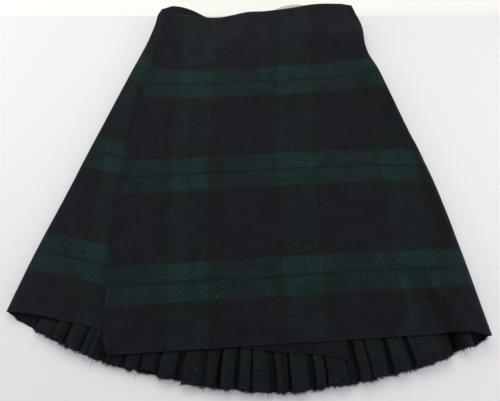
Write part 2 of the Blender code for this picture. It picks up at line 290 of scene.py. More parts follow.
def back_y(x, along):
    share = (x - left_fold(along)) / width(along)
    chord = SIDE["left_y"](along) + share * (SIDE["right_y"](along) - SIDE["left_y"](along))
    sag = HEM_SAG + (WAIST_SAG - HEM_SAG) * along / FRONT_LENGTH
    out = np.abs(2 * share - 1)
    return chord - sag * (1 - out ** 2) - SHOULDER * 4 * (out ** 4 - out ** 8)


def over_y(x, along):
    right_x = right_fold(along)
    straight = OVER_HEM_Y + OVER_HEM_TILT * x + along
    miss = SIDE["right_y"](along) - (OVER_HEM_Y + OVER_HEM_TILT * right_x + along)
    arch = HEM_LIFT * bell(x - HEM_LIFT_X, HEM_LIFT_HALF_WIDTH)
    arch = arch * (1 - ease(along, 0, HEM_LIFT_RUN))
    stray = WAIST["over_stray"](x) * ease(along, *STRAY_RUN)
    at_fold = ease((x - right_x) / OVER_FOLD_DRAW, -1, 0)
    return straight + miss * at_fold + (arch + stray) * (1 - ease((x - right_x) / OVER_FREE_RUN, -1, 0))


def under_y(x, along):
    left_x = left_fold(along)
    row = UNDER_HEM_Y(x - UNDER_LEAN * along) + UNDER_SHRINK * along
    row = row + WAIST["under_stray"](x) * ease(along, *STRAY_RUN)
    at_fold = UNDER_HEM_Y(left_x - UNDER_LEAN * along) + UNDER_SHRINK * along
    return row + (SIDE["left_y"](along) - at_fold) * (1 - ease((x - left_x) / UNDER_FOLD_DRAW, 0, 1))


def fold_rise(fold, x, y):
    run_x, run_y = fold.x1 - fold.x0, fold.y1 - fold.y0
    t = ((x - fold.x0) * run_x + (y - fold.y0) * run_y) / (run_x ** 2 + run_y ** 2)
    t = np.clip(t, 0, 1)
    away = np.hypot(x - fold.x0 - t * run_x, y - fold.y0 - t * run_y)
    return fold.rise * bell(away, fold.half_width)


def front_height(x, y):
    wave = WAIST["height"](x) - FRONT_FLAT
    flat = FRONT_FLAT + wave * ease(y, *WAVE_RUN)
    from_left = x - SIDE_AT_Y["left_x"](y)
    from_right = SIDE_AT_Y["right_x"](y) - x
    left_rise = SIDE_AT_Y["left_rise"](y) - flat
    right_rise = SIDE_AT_Y["right_rise"](y) - flat
    sides = left_rise * (1 - ease(from_left, LEFT_ROLL, LEFT_CREST))
    sides = sides + right_rise * (1 - ease(from_right, RIGHT_ROLL, RIGHT_CREST))
    folds = sum(fold_rise(fold, x, y) for fold in FRONT_FOLDS)
    creases = sum(fold_rise(fold, x, y) for fold in CREASES)
    return np.maximum(FRONT_FLAT, flat + sides + folds) + creases + ripple(x, y)


def ripple(x, y):
    """The faint, broad unevenness of heavy cloth that has been worn and laid down."""
    waves = ((0.021, 0.013, 0.4, 0.30), (-0.034, 0.026, 1.9, 0.22), (0.012, -0.041, 3.1, 0.20),
             (0.071, 0.019, 5.2, 0.09), (-0.052, 0.083, 0.7, 0.08), (0.015, 0.118, 2.6, 0.06))
    return sum(size * np.sin(by_x * x + by_y * y + start) for by_x, by_y, start, size in waves)


def under_face(x, y):
    """The under apron's dips stop short of the pleats, and both ends of its hem ride up on them."""
    corner = CORNER_RIDE * ease(x, 70, 105) * (1 - ease(y, 17, 30))
    left_end = HEM_RIDE * ease(-x, 160, 180) * (1 - ease(y, 62, 90))
    return np.maximum(front_height(x, y), FRONT_FLAT - PLEAT_CLEAR + LEAST_CLEAR) + corner + left_end


def over_height(x, y):
    return front_height(x, y) + APRON_STEP + (WAIST_STEP - APRON_STEP) * ease(y, *STEP_RUN)


# ---- tartan places: where a point of each piece lies in the weave, millimetres ----
# Where the first stripe of each apron runs, how far the third one is drawn in, and how far the bands of
# each apron ride up from an even spacing.
STRIPES = table(
    "along first third under over_band under_band",
    (0, -85, 8, -213, 2, -2),
    (74, -87, 5, -212, 3, -1),
    (144, -91, 4, -208, 3.5, 1),
    (253, -93, 6, -201, 5, 6),
    (315, -93, 8, -197, 5, 8),
    (418, -91, 17, -182, 5, 9.5),
    (483, -89, 32, -172, 5, 10),
    (562, -88, 38, -162, 5, 10),
)
STRIPE = {name: Curve(STRIPES, "along", name) for name in STRIPES[0]._fields[1:]}
HALF_SETT = 165.0
FIRST_BAND = 88.0


def over_weave(x, along):
    drift = STRIPE["third"](along) * ease(x, 100, 215)
    ride = STRIPE["over_band"](along) + 6 * ease(-x, 60, 180) * ease(along, 250, 420)
    return x - STRIPE["first"](along) + drift, along - FIRST_BAND - ride


def under_weave(x, along):
    return x - STRIPE["under"](along), along - FIRST_BAND - STRIPE["under_band"](along) + 0 * x


# ---- sections ----
ROLL_DEGREES = np.linspace(80, -90, 18)
ROLL_END = 6           # its last points, which lie close above the table


def length_along(x, y, z):
    """Distance along each row of points, from its first point."""
    step = np.sqrt(np.diff(x) ** 2 + np.diff(y) ** 2 + np.diff(z) ** 2)
    return join([[0], np.cumsum(step)])


def side_roll(fold_x, reach, top, along, upper_y):
    middle = (top + TABLE_LAYER) / 2
    radius = (top - TABLE_LAYER) / 2
    angle = np.radians(ROLL_DEGREES)
    x = fold_x + reach * (1 - np.cos(angle))
    y = upper_y(x, along) + (back_y(x, along) - upper_y(x, along)) * ease(-ROLL_DEGREES, -30, 30)
    return x, y, middle + radius * np.sin(angle)


def seam_at(end, along):
    """Where the back's left (0) or right (-1) edge runs: straight from one of its rows to the next."""
    return [float(np.interp(along, BACK_ROWS, [row[axis][end] for row in BACK_SECTIONS])) for axis in (0, 1)]


def apron_row(along, free_x, fold_x, reach, row_y, height, weave, seam_end, columns, shade):
    """One row of an apron: its face, the rounding over the side fold, and the strip below to the seam."""
    face_x = np.linspace(free_x, fold_x + reach, columns)
    face_y = row_y(face_x, along)
    face_z = height(face_x, face_y)
    roll_x, roll_y, roll_z = side_roll(fold_x, reach, face_z[-1], along, row_y)
    seam_x, seam_y = seam_at(seam_end, along)
    seam_x += math.copysign(SEAM_GAP, -reach)
    under_x = np.linspace(roll_x[-1], seam_x, STRIP_POINTS + 1)[1:]
    to_seam = np.linspace(0, 1, STRIP_POINTS + 1)[1:]
    below_y = back_y(under_x, along) + (seam_y - back_y(seam_x, along)) * to_seam
    x = join([face_x, roll_x, under_x])
    y = join([face_y, roll_y, below_y])
    z = join([face_z, roll_z, np.full(under_x.shape, TABLE_LAYER)])
    u, v = weave(face_x, along)
    past = length_along(x[columns - 1:], y[columns - 1:], z[columns - 1:])[1:]
    u = join([u, u[-1] - math.copysign(1, reach) * past])
    v = join([v, np.full(past.shape, v[-1])])
    # painted shading from the shade function on the face, and a little painted shade on the rounding and the
    # strip below it
    hollow = join([shade(face_x, face_y, along), np.full(len(x) - columns, 0.1)])
    return x, y, z, u, v, np.minimum(np.abs(x - free_x), along), x * 0 + FRONT_LENGTH - along, hollow


def rows_of(make, places):
    """Stacks the rows that make gives into grids: x, y, z, two weave places, how far off the nearest hem
    or free edge and the waist edge lie, and how dark the painted shade is there (below 0, how bright a
    painted highlight is)."""
    return [np.array(grid) for grid in zip(*(make(at) for at in places))]


def over_apron_row(along):
    reach = RIGHT_ROLL * width(along) / width(0)
    return apron_row(along, OVER_EDGE_X(along), right_fold(along), -reach, over_y, over_face,
                     over_weave, -1, OVER_COLUMNS, over_shade)


def under_apron_row(along):
    reach = LEFT_ROLL * width(along) / width(0)
    return apron_row(along, UNDER_EDGE_X(along), left_fold(along), reach, under_y, under_face,
                     under_weave, 0, UNDER_COLUMNS, under_shade)


def fold_shade(x, y, along):
    """Painted highlight on ridges, painted shade in troughs, and a painted highlight all along
    the waist.
    """
    rises = sum(fold_rise(fold, x, y) for fold in FRONT_FOLDS + CREASES)
    return np.clip(-0.2 * rises, -0.5, 0.5) - 0.42 * ease(along, 400, 500)


def over_shade(x, y, along):
    side = right_fold(along) - x
    # painted sheen: lighter beside the right side fold, fading out above the hem
    return fold_shade(x, y, along) - 0.2 * bell(side, 22) * (1 - ease(along, 60, 200))


def under_shade(x, y, along):
    """Painted shadow on the under apron close beside the free edge that lies on it, and painted sheen
    along its side fold.
    """
    beside = OVER_EDGE_X(np.clip(y - OVER_HEM_Y - OVER_HEM_TILT * x, 0, FRONT_LENGTH)) - x
    high = ease(along, 300, 500)
    # painted shadow cast by the over apron's free edge, wider and darker towards the waist
    edge = (0.6 + 0.4 * high) * bell(np.maximum(beside, 0), 6 + 6 * high)
    side = x - left_fold(along)
    # painted sheen along the left side fold, stronger near the hem
    painted_sheen = (0.2 + 0.2 * (1 - ease(along, 40, 160))) * bell(side, 40)
    return fold_shade(x, y, along) + edge - painted_sheen


def over_face(x, y):
    """The over apron's own height: its free edge curls up a little, and its hem corner lifts."""
    free = x - OVER_EDGE_X(np.clip(y - OVER_HEM_Y, 0, FRONT_LENGTH))
    curl = FREE_CURL + WAIST_CURL * ease(y, 380, 560) + HEM_CURL * (1 - ease(y, 30, 110))
    curl = curl * bell(free, CURL_WIDTH)
    corner = CORNER_LIFT * bell(x - CORNER[0], CORNER_HALF[0]) * bell(y - CORNER[1], CORNER_HALF[1])
    return over_height(x, y) + curl + corner


def pleat_path():
    """One row through every pleat, left to right, as (pleat, hem x, level), with the x of its inner and
    outer folds. Level 0 lies on the table, and each level is one layer higher."""
    inner = [pleat.edge for pleat in PLEATS]
    outer = [a + OVERLAP * (b - a) for a, b in zip(inner[1:], inner[2:])]
    outer.append((inner[-1] + LAST_FOLD) / 2)
    outer.append(LAST_FOLD)
    after = outer[1:] + [LOOP_RIGHT + LOOP[0].offset]
    ramps = [min(RAMP_LONGEST, RAMP_SHARE * (b - a)) for a, b in zip(outer, after)]
    points = []

    def run(number, x0, x1, level0, level1, count):
        for t in np.linspace(0, 1, count, endpoint=False):
            points.append((number, x0 + t * (x1 - x0), level0 + float(ease(t, 0, 1)) * (level1 - level0)))

    def turn(number, x, level, way):
        for degrees in (-90, -60, -30, 0, 30, 60):
            angle = math.radians(degrees)
            turned_x = x + way * LAYER / 2 * (math.cos(angle) - 1)
            points.append((number, turned_x, level + 0.5 + math.sin(angle) / 2))

    start = SIDES[0].left_x + LEFT_SEAM * width(0)
    half = LAYER / 2
    run(0, start, outer[0] - half, 0, 0, 3)
    for k in range(len(PLEATS)):
        down = outer[k] + RAMP_START
        turn(k, outer[k], 0, 1)
        if k:
            ramp = (outer[k - 1] + RAMP_START + ramps[k - 1], outer[k - 1] + RAMP_START)
            run(k, outer[k] - half, ramp[0], 1, 1, 4)
            run(k, ramp[0], ramp[1], 1, 3, 7)
            run(k, ramp[1], inner[k] + half, 3, 3, 4)
            turn(k, inner[k], 3, -1)
            if k + 1 == len(PLEATS):
                break
            run(k, inner[k] + half, ramp[1], 4, 4, 6)
            run(k, ramp[1], ramp[0], 4, 2, 9)
            run(k, ramp[0], down, 2, 2, 6)
        else:
            run(k, outer[k] - half, inner[k] + half, 1, 1, 6)
            turn(k, inner[k], 1, -1)
            run(k, inner[k] + half, down, 2, 2, 10)
        run(k, down, down + ramps[k], 2, 0, 7)
        run(k, down + ramps[k], outer[k + 1] - half, 0, 0, 5)
    run(k, inner[k] + half, down, 4, 4, 14)
    run(k, down, outer[k] + LAST_STEP_END, 4, 0, 10)
    run(k, outer[k] + LAST_STEP_END, LOOP_RIGHT + LOOP[0].offset - 1, 0, 0, 4)
    return points, inner, outer


def with_dip_points(points, inner):
    """Adds points to the strips that show, where a small crease runs down them."""
    wanted = [dip.x + off * dip.half_width for dip in DIPS for off in (-1.6, -0.9, -0.4, 0, 0.4, 0.9, 1.6)]
    made = points[:1]
    for (number, x0, level0), (after, x1, level1) in zip(points, points[1:]):
        shows = number == after and x1 > x0 and min(level0, level1) > SHOWING and x0 >= inner[number]
        if shows:
            made += [(number, x, level0 + (level1 - level0) * (x - x0) / (x1 - x0))
                     for x in sorted(wanted) if x0 + 0.2 < x < x1 - 0.2]
        made.append((after, x1, level1))
    return made


PATH, INNER, OUTER = pleat_path()
PATH_PLEAT, PATH_X, PATH_LEVEL = map(np.array, zip(*with_dip_points(PATH, INNER)))
PATH_ORDER = np.arange(len(PATH_X))
LEANS = [(pleat.edge, pleat.lean) for pleat in PLEATS]
LEANS = table("x lean", (SIDES[0].left_x, 0), *LEANS, (LOOP_RIGHT, 0))
LEAN = Curve(LEANS, "x", "lean")


def path_weave():
    """Weave place of each point of the path: true on the strips that show above and below, and the rest
    taken up between them."""
    place = np.full(PATH_X.shape, np.nan)
    for k, pleat in enumerate(PLEATS):
        mine = PATH_PLEAT == k
        right = INNER[k + 1] if k + 1 < len(PLEATS) else LAST_FOLD
        top_level = 3.5 if k else 1.5
        first = np.argmax(mine & (PATH_X <= INNER[k] + 0.01) & (PATH_LEVEL >= top_level))
        shows = mine & (PATH_X <= right) & (PATH_LEVEL > SHOWING) & (PATH_ORDER > first)
        middle = (INNER[k] + right) / 2
        place[shows] = k * HALF_SETT + pleat.stripe + PATH_X[shows] - middle
        flat = mine & (PATH_LEVEL < 0.01) & (PATH_X > OUTER[k] + LAYER)
        if flat.any():
            middle = PATH_X[flat].mean()
            place[flat] = (k + 0.5) * HALF_SETT + PATH_X[flat] - middle
    known = ~np.isnan(place)
    far = length_along(PATH_X, np.zeros(len(PATH_X)), PATH_LEVEL * LAYER)
    place[~known] = np.interp(far[~known], far[known], place[known])
    return place


PATH_WEAVE = path_weave()
PATH_DROP = np.array([PLEATS[k].drop for k in PATH_PLEAT])
PATH_LIFT = np.array([PLEATS[k].lift for k in PATH_PLEAT]) * ease(PATH_LEVEL, 2.2, 4)
PATH_LIFT[PATH_PLEAT == 0] = PLEATS[0].lift * ease(PATH_LEVEL[PATH_PLEAT == 0], 0.8, 2)


def path_relief():
    """How far the strip of each pleat that shows swells or dips, and how dark the painted shade in its
    crevices is.
    """
    puff, hollow = np.zeros(PATH_X.shape), np.full(PATH_X.shape, 0.7)
    for k, pleat in enumerate(PLEATS):
        mine = PATH_PLEAT == k
        last = k + 1 == len(PLEATS)
        right = LAST_FOLD if last else INNER[k + 1]
        share = (PATH_X - INNER[k]) / (right - INNER[k])
        top = mine & (PATH_LEVEL > SHOWING) & (share > 0) & (share < 0.97)
        if k:
            top &= ~np.isclose(PATH_LEVEL, 3) & (PATH_ORDER > np.argmax(mine & (PATH_LEVEL > 3.9)))
        arch = np.clip(1 - (2 * np.clip(share, 0, 1) ** 0.75 - 1) ** 2, 0, 1)
        dips = sum(dip.depth * bell(PATH_X - dip.x, dip.half_width) for dip in DIPS)
        puff[top] = (pleat.puff * arch - dips)[top]
        reach, dark = (7, 1.0) if last else (PLEATS[k + 1].hollow, PLEATS[k + 1].dark)
        # painted shade under the next fold edge and in the small creases, and a painted highlight just past
        # the fold edge
        shade = dark * bell(np.maximum(right - PATH_X, 0), reach) + 0.3 * dips
        shade = shade - 0.16 * bell(PATH_X - INNER[k] - 2, 3)
        shown = mine & (share >= 0) & (PATH_LEVEL > SHOWING)
        hollow[shown] = shade[shown]
    # painted shade on the flat strip at the path's left start, darker towards its right
    start = (PATH_PLEAT == 0) & (PATH_LEVEL < 0.5) & (PATH_X < OUTER[0])
    hollow[start] = 0.45 + 0.5 * ease(PATH_X[start], -325, -300)
    return puff, np.clip(hollow, -0.2, 1)


PATH_PUFF, PATH_PAINTED_SHADING = path_relief()
LOOP_OFFSETS, LOOP_HEIGHTS = np.array(LOOP, float).T
# painted shade in the deep pleat's cavity, a painted highlight over its crest, and painted shade on the
# points out to the seam
LOOP_PAINTED_SHADING = join([1.0 - 1.7 * ease(LOOP_OFFSETS, -19, -5), [LAST_SEAM_PAINTED_SHADE] * SEAM_POINTS])


def uncovered(x):
    """How far the back's hem shows below the aprons."""
    under = under_y(x, 0)
    front = np.where(x < OVER_EDGE[0].x, under, over_y(x, 0))
    front = np.where((x > OVER_EDGE[0].x) & (x < UNDER_EDGE[0].x), np.minimum(front, under), front)
    return front - back_y(x, 0)


PATH_FREE = np.maximum(uncovered(PATH_X), 1.0)
PATH_LIFT = PATH_LIFT * np.clip(PATH_FREE / 34, 0, 1)
PATH_PUFF = PATH_PUFF * np.clip(PATH_FREE / 22, 0, 1)


def pleated_back_row(along):
    x = across(share_at_hem(PATH_X), along) - LEAN(PATH_X) * ease(along, 0, LEAN_RUN)
    x[0] = across(LEFT_SEAM, along) + EDGE_SLACK
    near_hem = 1 - ease(along / PATH_FREE, 0.3, 1.0)
    z = TABLE_LAYER + PATH_LEVEL * LAYER + PATH_LIFT * near_hem + PATH_PUFF * near_hem ** 0.5
    up = 1 - ease(along, 0, 70)
    y = back_y(x, along) + (HEM_TRIM + HEM_UP(PATH_X) - PATH_DROP) * up
    top = SIDE["right_rise"](along) - LOOP_DROP - TABLE_LAYER
    loop_x = across(share_at_hem(LOOP_RIGHT + LOOP_OFFSETS), along)
    loop_z = TABLE_LAYER + LOOP_HEIGHTS * top
    seam_x = across(RIGHT_SEAM, along) - EDGE_SLACK
    end_x = np.linspace(loop_x[-1], seam_x, SEAM_POINTS + 1)[1:]
    x = join([x, loop_x, end_x])
    z = join([z, loop_z, np.full(end_x.shape, TABLE_LAYER)])
    ends = x[len(y):]
    at_hem = SIDES[0].left_x + (ends - left_fold(along)) / width(along) * width(0)
    y = join([y, back_y(ends, along) + (HEM_TRIM * (at_hem < LOOP_RIGHT) + HEM_UP(at_hem)) * up])
    u = PATH_WEAVE
    past = length_along(x[len(u) - 1:], y[len(u) - 1:], z[len(u) - 1:])[1:]
    u = join([u, u[-1] + past * LOOP_TAKE_UP])
    # painted shade, deeper away from the hem where the aprons cover the back
    painted_shade_deeper = 0.8 + 0.2 * ease(along / PATH_FREE, 0, 1)
    hollow = join([PATH_PAINTED_SHADING * painted_shade_deeper, LOOP_PAINTED_SHADING])
    return x, y, z, u, u * 0 + along - FIRST_BAND, u * 0 + along, u * 0 + FRONT_LENGTH - along, hollow


def lining_row(share):
    x = np.linspace(LINING_LEFT, LINING_RIGHT, 40)
    tuft = ease(x, LINING_LEFT, LINING_TUFT_LEFT) * (1 - ease(x, LINING_TUFT_RIGHT, LINING_RIGHT))
    out = LINING_TUFT * tuft * ease(share, 0.6, 1)
    along = FRONT_LENGTH - LINING_INSET - LINING_DEPTH * (1 - share) + out
    y = over_y(x, along)
    z = over_height(x, y) - WAIST_STEP / 2 + 0.25 * np.sin(x * 0.5 + share * 2) * ease(share, 0.6, 1)
    return x, y, z, x, x * 0 + along, x * 0, x * 0, x * 0


# ---- meshes ----
def in_part_frame(x, y, z):
    return np.stack([(x - PLAN_CENTRE[0]) * MM, (y - PLAN_CENTRE[1]) * MM, z * MM], axis=-1)


def put(name, data):
    made = bpy.data.objects.new(name, data)
    bpy.context.collection.objects.link(made)
    return made


def mark_creases(mesh, degrees):
    made = bmesh.new()
    made.from_mesh(mesh)
    for edge in made.edges:
        edge.smooth = len(edge.link_faces) == 2 and edge.calc_face_angle(0) < math.radians(degrees)
    made.to_mesh(mesh)
    made.free()


def cloth_piece(name, make_row, places, thickness, finish):
    """A wall of cloth on the grid of points of its rows, with its weave places as a map in metres."""
    x, y, z, u, v, from_edge, from_waist, hollow = rows_of(make_row, places)
    rows, columns = x.shape
    points = in_part_frame(x, y, z).reshape(-1, 3)
    index = np.arange(rows * columns).reshape(rows, columns)
    quads = np.stack([index[:-1, :-1], index[:-1, 1:], index[1:, 1:], index[1:, :-1]], axis=-1).reshape(-1, 4)
    sheet = bpy.data.meshes.new(name + "_sheet")
    sheet.from_pydata(points.tolist(), [], quads.tolist())
    corners = np.empty(len(sheet.loops), int)
    sheet.loops.foreach_get("vertex_index", corners)
    maps = (("weave", (u, v)), ("rims", (from_edge, from_waist)), ("painted_shading_map", (hollow / MM, u * 0)))
    for layer, pair in maps:
        places = np.stack([pair[0].ravel(), pair[1].ravel()], axis=-1) * MM
        sheet.uv_layers.new(name=layer).data.foreach_set("uv", places[corners].ravel())
    piece = put(name, sheet)
    wall = piece.modifiers.new("cloth thickness", "SOLIDIFY")
    wall.thickness = thickness * MM
    wall.offset = 0
    wall.use_even_offset = True
    wall.use_quality_normals = True
    depsgraph = bpy.context.evaluated_depsgraph_get()
    mesh = bpy.data.meshes.new_from_object(piece.evaluated_get(depsgraph))
    mesh.name = name
    piece.modifiers.clear()
    piece.data = mesh
    bpy.data.meshes.remove(sheet)
    mark_creases(mesh, 50)
    mesh.materials.append(finish)
    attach(piece, "root")
    return piece


def thread_piece(name, paths, thickness, finish):
    """Many fine threads as one mesh: paths is threads x points x 3 in plan millimetres, each thread a
    three-sided tube that thins out to its tip; thickness is each thread's own at the root."""
    count, points = paths.shape[:2]
    along = np.gradient(paths, axis=1)
    along /= np.maximum(np.linalg.norm(along, axis=2, keepdims=True), 1e-9)
    side = np.cross(along, np.array([0.13, 0.27, 0.95]))
    side /= np.maximum(np.linalg.norm(side, axis=2, keepdims=True), 1e-9)
    up = np.cross(side, along)
    taper = np.linspace(1, 0.35, points)[None, :, None] * np.asarray(thickness)[:, None, None] / 2
    rings = [paths + taper * (math.cos(turn) * side + math.sin(turn) * up)
             for turn in (0, math.tau / 3, 2 * math.tau / 3)]
    verts = np.stack(rings, axis=2)
    index = np.arange(count * points * 3).reshape(count, points, 3)
    faces = []
    for corner in range(3):
        following = (corner + 1) % 3
        walls = np.stack([index[:, :-1, corner], index[:, :-1, following], index[:, 1:, following],
                          index[:, 1:, corner]], axis=-1)
        faces += walls.reshape(-1, 4).tolist()
    faces += index[:, 0, ::-1].tolist() + index[:, -1].tolist()
    mesh = bpy.data.meshes.new(name)
    flat = verts.reshape(-1, 3)
    mesh.from_pydata(in_part_frame(*flat.T).tolist(), [], faces)
    mesh.shade_smooth()
    mesh.materials.append(finish)
    piece = put(name, mesh)
    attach(piece, "root")


def bent_threads(roots, heading, length, bend, droop, points):
    """Paths of threads that leave their roots at a heading (radians in plan) and bend on the way."""
    t = np.linspace(0, 1, points)[None, :]
    turn = heading[:, None] + bend[:, None] * t
    step = length[:, None] / (points - 1)
    x = roots[:, 0:1] + join([0 * step, np.cumsum(np.cos(turn[:, 1:]) * step, axis=1)], axis=1)
    y = roots[:, 1:2] + join([0 * step, np.cumsum(np.sin(turn[:, 1:]) * step, axis=1)], axis=1)
    z = roots[:, 2:3] + droop[:, None] * length[:, None] * t ** 2
    return np.stack([x, y, np.maximum(z, 0.25)], axis=-1)


# ---- finishes ----
def operator(operation, swapped=False):
    def work(self, other):
        return self.math(operation, *((other, self) if swapped else (self, other)))
    return work


class Signal:
    """A value on its way through a finish; its operators add the nodes that work them out."""

    def __init__(self, tree, socket):
        self.tree = tree
        self.socket = socket

    def node(self, kind, settings=(), inputs=(), output=0):
        made = self.tree.nodes.new("ShaderNode" + kind)
        for name, value in dict(settings).items():
            setattr(made, name, value)
        for name, value in dict(inputs).items():
            if isinstance(value, Signal):
                self.tree.links.new(value.socket, made.inputs[name])
            else:
                made.inputs[name].default_value = value
        return Signal(self.tree, made.outputs[output])

    def math(self, operation, *values):
        return self.node("Math", {"operation": operation}, dict(enumerate(values)))

    __add__ = operator("ADD")
    __radd__ = operator("ADD", True)
    __sub__ = operator("SUBTRACT")
    __rsub__ = operator("SUBTRACT", True)
    __mul__ = operator("MULTIPLY")
    __rmul__ = operator("MULTIPLY", True)
    __truediv__ = operator("DIVIDE")
    __mod__ = operator("FLOORED_MODULO")

    def wave(self):
        return self.math("SINE", self)

    def size(self):
        return self.math("ABSOLUTE", self)

    def over(self, edge, soft):
        """0 below the edge, 1 above it, and a soft step between."""
        return self.node("MapRange", {"interpolation_type": "SMOOTHSTEP"},
                         {"Value": self, "From Min": edge - soft / 2, "From Max": edge + soft / 2})

    def between(self, low, high, soft):
        return self.over(low, soft) - self.over(high, soft)

    def mix(self, low, high):
        """Blends two colours, low where this value is 0 and high where it is 1."""
        return self.node("Mix", {"data_type": "RGBA"}, {0: self, 6: low, 7: high}, 2)

    def vector(self, operation, first, second):
        """Adds, multiplies or scales colours or places."""
        key = "Scale" if operation == "SCALE" else 1
        return self.node("VectorMath", {"operation": operation}, {0: first, key: second})

    def tint(self, ground, added):
        """Adds this much of a colour to the ground."""
        return self.vector("ADD", ground, self.vector("SCALE", added, self))

    def mix_values(self, low, high):
        return self.node("Mix", {"data_type": "FLOAT"}, {0: self, 2: low, 3: high}, 0)

    def noise(self, scale, detail, roughness=0.5):
        return self.node("TexNoise", {"noise_dimensions": "2D"},
                         {"Vector": self, "Scale": scale, "Detail": detail, "Roughness": roughness})

    def cloth_map(self, name):
        """Both values of one of the maps that cloth_piece gives its mesh, and the map itself."""
        whole = self.node("UVMap", {"uv_map": name})
        first = whole.node("SeparateXYZ", {}, {0: whole})
        return first, Signal(self.tree, first.socket.node.outputs[1]), whole

    def bump(self, strength, distance):
        return self.node("Bump", {}, {"Strength": strength, "Distance": distance, "Height": self})

    def feed(self, shader, name):
        self.tree.links.new(self.socket, shader.inputs[name])


def new_finish(name, fixed):
    """A new material, its shader with the fixed inputs set, and a signal to start nodes from."""
    made = bpy.data.materials.new(name)
    made.use_nodes = True
    shader = made.node_tree.nodes["Principled BSDF"]
    for key, value in fixed.items():
        shader.inputs[key].default_value = value
    return made, shader, Signal(made.node_tree, None)


# Linear colours: the black yarn, what blue and green yarns add to it where they cross their own kind, and
# what wear, pilling and painted sheen along the edges add.
BLACK = (0.0042, 0.0049, 0.0054)
BLUE = (0.0001, 0.0, 0.0048)
GREEN = (0.0002, 0.0120, 0.0123)
WEAR_AND_SHEEN = (0.020, 0.023, 0.026)
YARN = 0.00055         # from one yarn to the next, metres
# How strongly the lengthwise and crosswise yarns show, and what they add together.
BLUE_LENGTHWISE = 0.75
BLUE_CROSSWISE = 0.68
GREEN_LENGTHWISE = 0.22
GREEN_CROSSWISE = 0.56
GREEN_TOGETHER = 0.22
# How strongly the black line down the middle of a green stripe shows, each way.
LENGTHWISE_LINE = 0.45
CROSSWISE_LINE = 0.85
# Patches of the dye are a little warmer or colder.
WARM_CAST = (1.35, 0.90, 0.86, 1)
COLD_CAST = (0.65, 1.10, 1.14, 1)
BACK_PAINTED_SHADE = 0.84      # painted shade: the back is this much darker all over, and its crevices darker still
PAINTED_SHADE_DARKNESS = 0.72

GREEN_LINE = 2.1       # half of the black line down the middle of a green stripe
GREEN_HALF = 27.5
GUARD_END = 49.5
ZONE_LINES = (14.1, 18.9, 23.6, 28.3)   # black lines of the first blue zone, out from its middle
PAIR_LINES = (2.4, 7.1)                 # the pair of black lines in the second one
SOFT = 2.2


def stripe_masks(place, line):
    """Where blue and green yarns lie along one thread direction; place is in millimetres, and line says
    how strongly the black line down the middle of a green stripe shows."""
    from_green = ((place + HALF_SETT / 2) % HALF_SETT - HALF_SETT / 2).size()
    from_zone = HALF_SETT / 2 - from_green
    second = (place % (2 * HALF_SETT)).between(0, HALF_SETT, 0.01)
    lines = from_zone.between(ZONE_LINES[0], ZONE_LINES[1], SOFT) * 0.6
    lines = lines + from_zone.between(ZONE_LINES[2], ZONE_LINES[3], SOFT) * 0.6
    pair = from_zone.between(PAIR_LINES[0], PAIR_LINES[1], SOFT) * 0.5
    black_lines = second.mix_values(lines, pair)
    blue = from_green.over(GUARD_END, SOFT) * (1 - black_lines)
    green = (1 - from_green.over(GREEN_HALF, SOFT)) * (1 - line * (1 - from_green.over(GREEN_LINE, SOFT)))
    return blue, green


def yarn_colour(weave, u, v, twill):
    """The colour of the check before wear, from the yarns that show on each side of the twill."""
    blue_lengthwise, green_lengthwise = stripe_masks(u * 1000, LENGTHWISE_LINE)
    blue_crosswise, green_crosswise = stripe_masks(v * 1000, CROSSWISE_LINE)
    lengthwise = twill * 0.8 + 0.6
    crosswise = 2 - lengthwise
    blue = 1 - ((1 - blue_lengthwise * lengthwise * BLUE_LENGTHWISE)
                * (1 - blue_crosswise * crosswise * BLUE_CROSSWISE))
    green = (green_lengthwise * lengthwise * GREEN_LENGTHWISE + green_crosswise * crosswise * GREEN_CROSSWISE
             + green_lengthwise * green_crosswise * GREEN_TOGETHER)
    blue = blue * (0.2 + weave.noise(70, 3) * 1.6)
    green = green * (0.65 + weave.noise(120, 3) * 0.7)
    cast = weave.noise(160, 2).mix(WARM_CAST, COLD_CAST)
    return weave.vector("MULTIPLY", green.tint(blue.tint(BLACK, BLUE), GREEN), cast)


def unevenness(weave, heather):
    """Broad clouds, heathered patches and streaks along the yarns, about 0."""
    warp_streaks = weave.vector("MULTIPLY", weave, (600, 14, 1)).noise(1, 2)
    weft_streaks = weave.vector("MULTIPLY", weave, (14, 600, 1)).noise(1, 2)
    streaks = (warp_streaks - 0.5) * 0.5 + (weft_streaks - 0.5) * 0.8
    broad = weave.noise(9, 4, 0.6)
    clouds = weave.noise(38, 3)
    return (broad - 0.5) * 0.55 + (heather - 0.5) * 0.95 + (clouds - 0.5) * 0.85 + streaks


